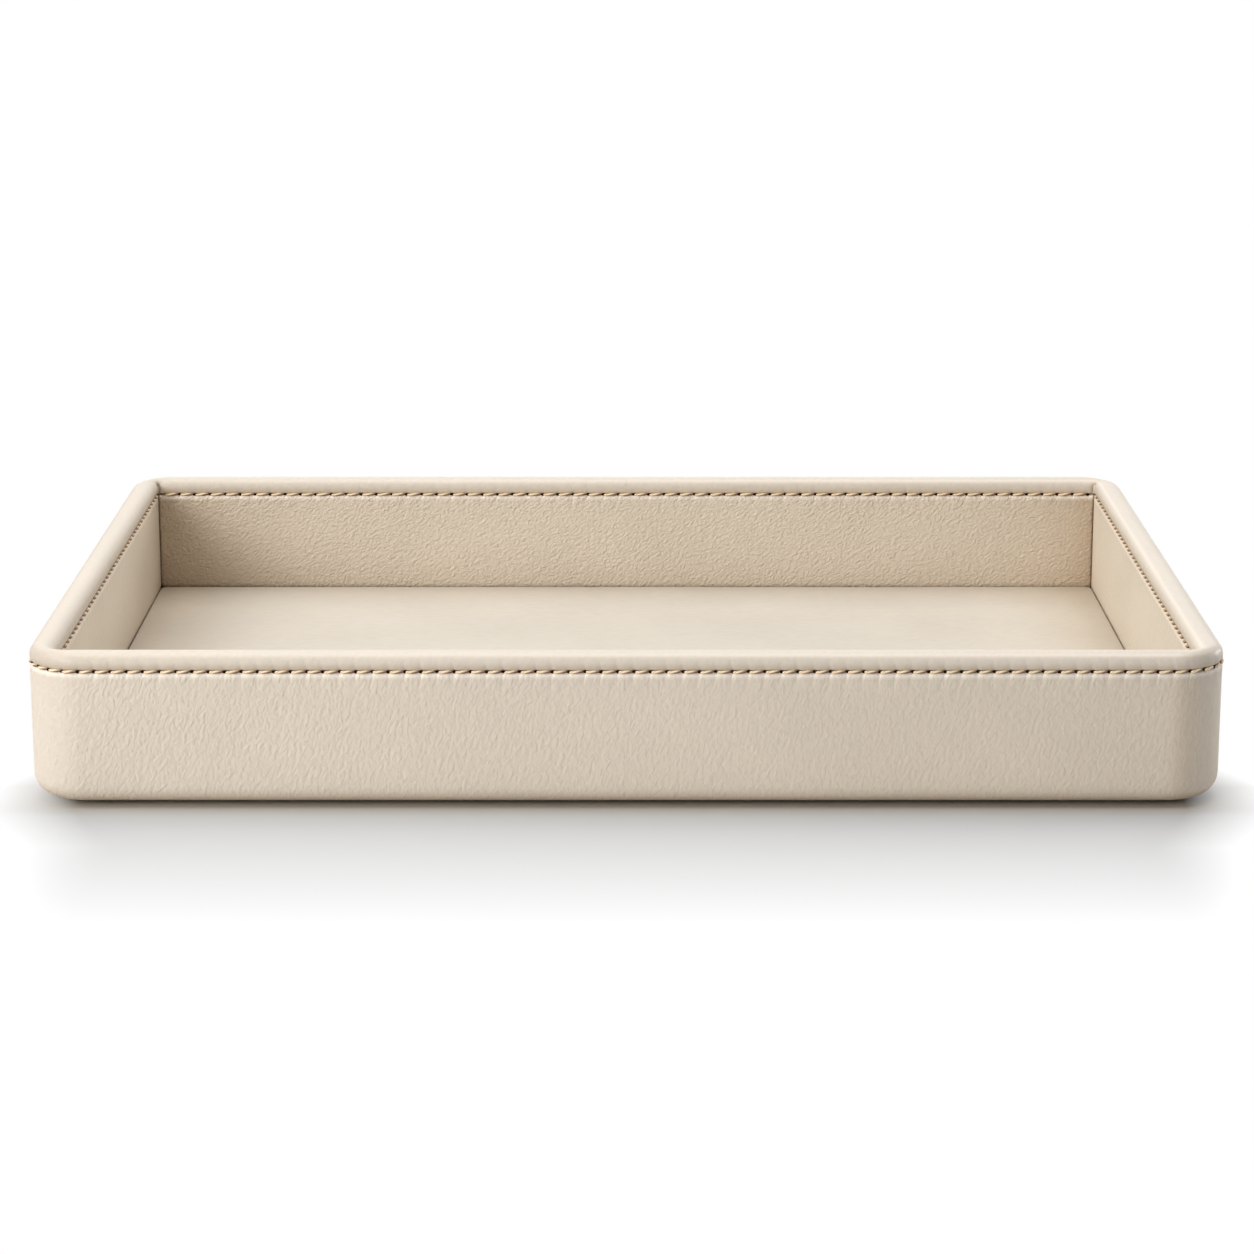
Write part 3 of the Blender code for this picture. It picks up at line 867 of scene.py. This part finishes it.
# Painted shade with dye: darker along the lower side and towards the end that goes down.
lower_right = add("Math", (across, -1.0, along), "MULTIPLY_ADD")
shade_and_dye = add("MapRange", (lower_right, -0.5, 0.7))
skin = "#F8E1BF"
for share, paint in ((grooved, "#D8B688"), (shade_and_dye, "#6A4522")):
    skin = add("Mix", {0: share, 6: skin, 7: paint}, data_type="RGBA")
bump = add("Bump", {"Height": wave, "Distance": 0.03 * MM})
feed(shader, {"Base Color": skin, "Normal": bump})

hole_dark, add, shader = new_finish("awl_hole_shade", "#2E180B", 1.0)
outward = add("MapRange", (mark_parts(add)[2], 0.38, 0.6))
blend = add("Mix", {0: outward, 6: "#2E180B", 7: "#5E4025"}, data_type="RGBA")
feed(shader, {"Base Color": blend, "Specular IOR Level": 0.0})
print("Made", thread_tan.name, "and", hole_dark.name)

# %% [markdown]
# ## Repeating them along the seams
#
# Geometry Nodes do this. The tree divides a line evenly and puts a copy of one object at each point, with its
# X along the line and its Z out of the wall, which is the line's direction crossed with up. Three small
# random amounts, from one seed, slide, tilt and scale the copies. The holes use the same tree and seed, so
# each stays at the end of its stitch. The result is turned into a plain mesh.

# %% Tree that repeats along a line
stitch_tree = bpy.data.node_groups.new("stitches_along_a_line", "GeometryNodeTree")
for name, kind in (("Line", "Geometry"), ("Count", "Int"), ("Shape", "Object"), ("Finish", "Material"),
                   ("Slide", "Float"), ("Tilt", "Float"), ("Growth", "Float"), ("Seed", "Int")):
    stitch_tree.interface.new_socket(name, in_out="INPUT", socket_type="NodeSocket" + kind)
stitch_tree.interface.new_socket("Stitches", in_out="OUTPUT", socket_type="NodeSocketGeometry")
add = partial(add_node, stitch_tree)
given = add("NodeGroupInput").node.outputs
curve = add("GeometryNodeMeshToCurve", [given["Line"]])
points = add("GeometryNodeResampleCurve", {"Curve": curve, "Count": given["Count"]}, mode="COUNT")
way = add("GeometryNodeInputTangent")
out = add("VectorMath", (way, (0, 0, 1)), "CROSS_PRODUCT")
amounts = []
for number, size in enumerate(("Slide", "Tilt", "Growth")):
    seed = add("Math", (given["Seed"], float(number)), "ADD")
    least = add("Math", (given[size], -1.0), "MULTIPLY")
    limits = {2: least, 3: given[size], "Seed": seed}
    amounts.append(add("FunctionNodeRandomValue", limits, data_type="FLOAT"))
slide, tilt, growth = amounts
shift = add("VectorMath", {0: way, "Scale": slide}, "SCALE")
moved = add("GeometryNodeSetPosition", {"Geometry": points, "Offset": shift})
along = add("FunctionNodeAlignRotationToVector", {"Vector": way}, axis="X")
turned = {"Rotation": along, "Vector": out}
upright = add("FunctionNodeAlignRotationToVector", turned, axis="Z", pivot_axis="X")
shape = add("GeometryNodeObjectInfo", [given["Shape"]]).node.outputs["Geometry"]
size = add("Math", (growth, 1.0), "ADD")
copied = {"Points": moved, "Instance": shape, "Rotation": upright, "Scale": size}
copies = add("GeometryNodeInstanceOnPoints", copied)
turn = add("CombineXYZ", {"Z": tilt})
leaning = add("GeometryNodeRotateInstances", {"Instances": copies, "Rotation": turn})
real = add("GeometryNodeRealizeInstances", [leaning])
painted = add("GeometryNodeSetMaterial", {"Geometry": real, "Material": given["Finish"]})
add("NodeGroupOutput", {"Stitches": painted})
print("Tree:", stitch_tree.name, "with", len(stitch_tree.nodes), "nodes")


# %% Run the tree
def repeated(name, path, count, shape):
    """Repeats a shape along a path of points, and returns one plain mesh object."""
    mesh = bpy.data.meshes.new(name + "_line")
    mesh.from_pydata(path.tolist(), [(i, i + 1) for i in range(len(path) - 1)], [])
    holder = in_scene(name + "_line", mesh)
    modifier = holder.modifiers.new("stitches", "NODES")
    modifier.node_group = stitch_tree
    values = {"Count": count, "Shape": shape, "Finish": shape.data.materials[0], "Slide": 0.10 * MM,
              "Tilt": math.radians(2.2), "Growth": 0.035, "Seed": 11}
    for item in stitch_tree.interface.items_tree:
        if item.in_out == "INPUT" and item.name in values:
            modifier[item.identifier] = values[item.name]
    graph = bpy.context.evaluated_depsgraph_get()
    made = bpy.data.meshes.new_from_object(holder.evaluated_get(graph))
    made.name = name
    made.shade_smooth()
    bpy.data.objects.remove(holder)
    print(f"{name}: {count} copies, {len(made.polygons)} faces")
    return in_scene(name, made)


def joined(name, pieces):
    """Joins mesh objects into one."""
    with bpy.context.temp_override(active_object=pieces[0], selected_editable_objects=pieces):
        bpy.ops.object.join()
    pieces[0].name = pieces[0].data.name = name
    return pieces[0]


# %% Outer stitches
STITCH_SHARE = 0.90
HOLE_SHIFT = 0.06 * MM

path_places = np.linspace(outer_pitch / 2, loop_length - outer_pitch / 2, 2400)
outer_path = beside(ring(path_places, THREAD_INSET, CORNER_RADIUS - THREAD_INSET)[0], seam_height)
outer_stitch = stitch_shape("outer_stitch", STITCH_SHARE * outer_pitch)
outer_hole = hole_shape("outer_hole", outer_pitch / 2 - HOLE_SHIFT)
outer_stitches = repeated("outer_stitches", outer_path, OUTER_STITCHES, outer_stitch)
outer_holes = repeated("outer_awl_holes", outer_path, OUTER_STITCHES, outer_hole)

# %% Inner stitches
# The left wall is sewn from the back to the front, as its dark thread ends show, so its heading is -1.
rows = ((long_wall, X_AXIS, 1, 1.0), (short_wall, -Y_AXIS, 1, 0.2),
        (long_wall, -X_AXIS, 1, 1.0), (short_wall, Y_AXIS, -1, 0.2))
stitch_rows, hole_rows = [], []
for number, ((_, clear, wall), way, heading, lean) in enumerate(rows):
    count, pitch = inner_row(clear)
    reach = clear - INNER_END - pitch / 2
    middle = turned_left(way) * (wall + THREAD_INSET)
    path = beside(np.array((middle - reach * way, middle + reach * way)), seam_height)
    stitch = stitch_shape(f"inner_stitch_{number}", STITCH_SHARE * pitch, heading, lean)
    hole = hole_shape(f"inner_hole_{number}", heading * (pitch / 2 - HOLE_SHIFT))
    stitch_rows.append(repeated(f"inner_row_{number}", path, count, stitch))
    hole_rows.append(repeated(f"inner_hole_row_{number}", path, count, hole))
inner_stitches = joined("inner_stitches", stitch_rows)
inner_holes = joined("inner_awl_holes", hole_rows)

# %% [markdown]
# ## Hidden pieces
#
# The boards, the card and the foam don't show until someone takes the tray apart, but they get finishes too.
# The function that made the suede makes them, because all are dull stocks with a fine, even mottle.

# %% Fibreboard, card and foam
# Dry-formed wood fibre, pressed and sanded, which shows short fibres and no grain.
fibreboard = speckled("medium_density_fibreboard", "#A9855F", "#8C6A48", 0.9 * MM, 0.85, 0.03 * MM, (3, 1, 1))
# Recycled pulp with grey and pale specks.
greyboard = speckled("grey_bookbinding_card", "#9A958C", "#B9B4AA", 0.7 * MM, 0.9, 0.02 * MM)
# Cut polyurethane foam with open cells.
foam = speckled("cut_polyurethane_foam", "#E2DCCB", "#BFB8A4", 0.8 * MM, 0.95, 0.15 * MM)

hidden = {"board": fibreboard, "card": greyboard, "padding": foam}
for name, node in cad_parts.items():
    finish = hidden.get(name.split("_")[-1])
    if finish:
        node.data.materials.clear()
        node.data.materials.append(finish)
        print(name, "is", finish.name)

# %% [markdown]
# ## Tell the frame what stands for what
#
# Each dressed piece rides on the tray's one body and replaces its plain solid, which is hidden.

# %% Register the pieces
for slot, piece, *nodes in (
    ("leather", outer_band, "outer_band"), ("leather", rim, "rim_binding"),
    ("leather", back_lining, "back_lining"), ("leather", front_lining, "front_lining"),
    ("leather", left_lining, "left_lining"), ("leather", right_lining, "right_lining"),
    ("leather", floor, "floor_leather"), ("suede", base_suede, "base_lining"),
    ("thread", outer_stitches, "outer_thread"), ("thread", inner_stitches, "inner_thread"),
    ("thread", outer_holes), ("thread", inner_holes),
):
    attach(piece, "root")
    if nodes:
        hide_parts(*nodes)

# %% [markdown]
# ## The studio
#
# The photograph was taken from the front with a long lens, about 14 degrees above the table. The camera's
# numbers were found by fitting the tray's known edges to the picture.

# %% Camera
IMAGE_SIZE = 1254
FOCAL_PIXELS = 3497.3
PITCH = math.radians(14.436)
CAMERA_DISTANCE = 1.137
AIM_HEIGHT = 0.0228
SHIFT_PIXELS = 0.8
SENSOR = 36.0

lens = bpy.data.cameras.new("camera")
lens.sensor_width = SENSOR
lens.lens = FOCAL_PIXELS / IMAGE_SIZE * SENSOR
lens.shift_x = SHIFT_PIXELS / IMAGE_SIZE
lens.clip_end = 100
camera = in_scene("camera", lens)
back, up = CAMERA_DISTANCE * math.cos(PITCH), CAMERA_DISTANCE * math.sin(PITCH)
camera.location = (0, -back, up + AIM_HEIGHT)
camera.rotation_euler = (math.pi / 2 - PITCH, 0, 0)
bpy.context.scene.camera = camera
bpy.context.scene.view_settings.view_transform = "Standard"
print(f"Lens {lens.lens:.1f} mm, camera {CAMERA_DISTANCE:.3f} m away")

# %% [markdown]
# ## Lamps
#
# The front wall gets darker from left to right, the rim is brightest on its crest, and the tray throws a soft
# shadow forwards. So two lamps stand at the left, a large one hangs over the tray, two wide ones stand behind
# it, and a weak low one at the right lights the far corner. Their strengths were found by rendering the tray
# with each lamp alone and fitting the sum to the photograph. A lamp's place is how far round to the left of
# the camera it stands, how high, and how far away.

# %% Lamps
LAMP_AIM = np.array((0, 0, 0.02))


def softbox(name, round_left, up, away, size, power):
    """A rectangular lamp that faces the tray. Its angles are in degrees."""
    data = bpy.data.lights.new(name, "AREA")
    data.shape = "RECTANGLE"
    data.size, data.size_y = size
    data.energy = power
    lamp = in_scene(name, data)
    turn, rise = math.radians(round_left), math.radians(up)
    flat = math.cos(rise) * away
    lamp.location = (-math.sin(turn) * flat, -math.cos(turn) * flat, math.sin(rise) * away)
    toward = LAMP_AIM - np.array(lamp.location)
    flat = math.hypot(toward[0], toward[1])
    lamp.rotation_euler = (math.atan2(flat, -toward[2]), 0, math.atan2(toward[1], toward[0]) - math.pi / 2)


softbox("front_left_lamp", 38, 22, 1.4, (0.7, 0.5), 8.0)
softbox("left_lamp", 65, 42, 1.3, (0.8, 0.8), 5.8)
softbox("overhead_lamp", 0, 89, 1.4, (1.2, 1.0), 11.2)
softbox("back_high_lamp", 180, 60, 1.5, (1.4, 0.8), 7.4)
softbox("back_low_lamp", 180, 20, 1.8, (1.8, 0.5), 2.0)
softbox("right_low_lamp", -115, 9, 1.4, (0.6, 0.25), 4.6)

# %% [markdown]
# ## Table and world
#
# The tray stands on pale seamless paper. What the camera sees of it carries a painted shadow: grey near the
# tray, over the lamps' own shadows, and fading by place to pure white away from it. White is what the camera
# sees of the paper and the world, not more light: a light path node tells rays apart, so the leather mirrors
# a white room at grazing angles, but is lit only by the lamps, the paper and a dim room.

# %% Table
TABLE = 12.0
SHADED_HALF = (0.1625, 0.131, 0)
FADE_LENGTH = (0.025, 0.094, 1)
SHADE_CENTRE = (0.0015, 0, 0)

paper, add, shader = new_finish("seamless_paper", "#EEEEEE", 1.0)
rays = add("LightPath")
place = add("TexCoord").node.outputs["Object"]
y = add("SeparateXYZ", [place]).node.outputs["Y"]
depth = add("Math", (y, half_width), "ADD")
# Painted shadow: under the front edge the camera sees the paper darker, and warm with the leather's colour.
under = add("MapRange", (depth, -0.007, 0.003))
painted_shadow_grey = add("Mix", {0: under, 6: "#C1C1C1", 7: "#B2ACA2"}, data_type="RGBA")
shade_tone = add("Mix", {0: rays, 6: "#EEEEEE", 7: painted_shadow_grey}, data_type="RGBA")
feed(shader, {"Base Color": shade_tone, "Specular IOR Level": 0.0})
# The painted shadow's strip is widest along the tray's front edge, and gets narrower before it and behind it.
before = add("MapRange", (depth, -0.002, -0.036, 0.0, 0.017))
behind = add("MapRange", (depth, 0.022, 0.055, 0.0, 0.016))
narrower = add("Math", (before, behind), "ADD")
shift = add("CombineXYZ", [narrower])
vector = place
for operation, value in (("SUBTRACT", SHADE_CENTRE), ("ABSOLUTE", (0, 0, 0)), ("ADD", shift),
                         ("SUBTRACT", SHADED_HALF), ("MAXIMUM", (0, 0, 0)), ("DIVIDE", FADE_LENGTH)):
    vector = add("VectorMath", (vector, value), operation)
distance = add("VectorMath", [vector], "LENGTH")
away = add("Math", (distance, 1.0), "MINIMUM")
share = add("Math", (away, rays), "MULTIPLY")
white = add("Emission", ((1, 1, 1, 1), 1.0))
mix = add("MixShader", (share, shader.outputs["BSDF"], white))
feed(paper.node_tree.nodes["Material Output"], {"Surface": mix})

sheet = bpy.data.meshes.new("table")
corners = ((-1, -1), (1, -1), (1, 1), (-1, 1))
sheet.from_pydata([(x * TABLE, y * TABLE, 0) for x, y in corners], [], [(0, 1, 2, 3)])
sheet.materials.append(paper)
in_scene("table", sheet)

# %% World
DIM_ROOM = 0.03

world = bpy.data.worlds.new("studio")
bpy.context.scene.world = world
world.use_nodes = True
add = partial(add_node, world.node_tree)
rays = add("LightPath").node.outputs
seen_white = add("Math", (rays["Is Camera Ray"], rays["Is Glossy Ray"]), "MAXIMUM")
brightness = add("MapRange", (seen_white, 0.0, 1.0, DIM_ROOM, 1.0))
feed(world.node_tree.nodes["Background"], ((1, 1, 1, 1), brightness))
